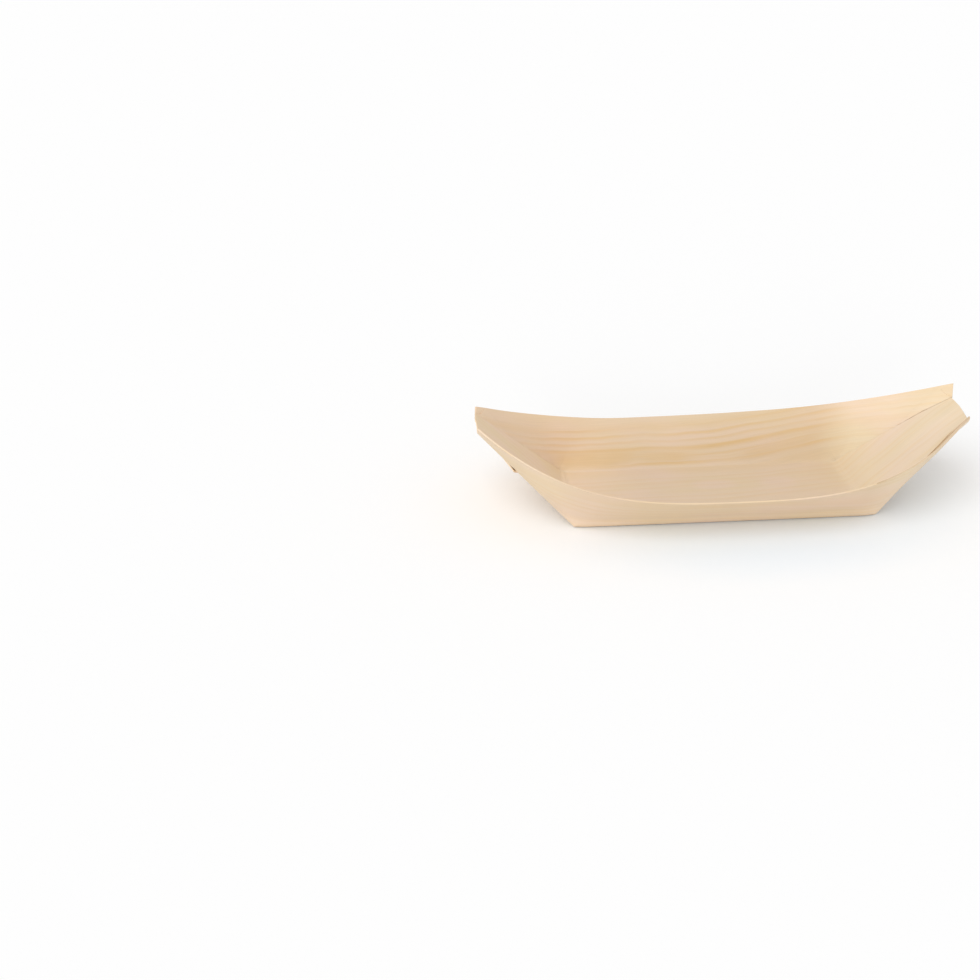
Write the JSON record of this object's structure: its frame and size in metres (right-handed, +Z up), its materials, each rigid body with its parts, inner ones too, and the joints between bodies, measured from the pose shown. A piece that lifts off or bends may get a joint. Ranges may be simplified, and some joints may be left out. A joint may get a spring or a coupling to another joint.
{
  "type": "disposable wooden bowl",
  "caption": "Boat-shaped serving bowl folded from a sheet of thin pine veneer, with a flat base, leaning sides and sloping ends whose tabs are glued under them.",
  "frame": {"origin": "underside of the base, below the middle of the whole bowl", "axes": "+X along the bowl towards its higher tip, +Y across it, +Z up"},
  "size_m": [0.2414, 0.0954, 0.0515],
  "materials": {
    "pine_veneer": "bare sliced veneer, matt, with low-contrast straight and wavy grain along the bowl"
  },
  "bodies": {
    "root": {"veneer_boat": "pine_veneer"}
  },
  "joints": []
}
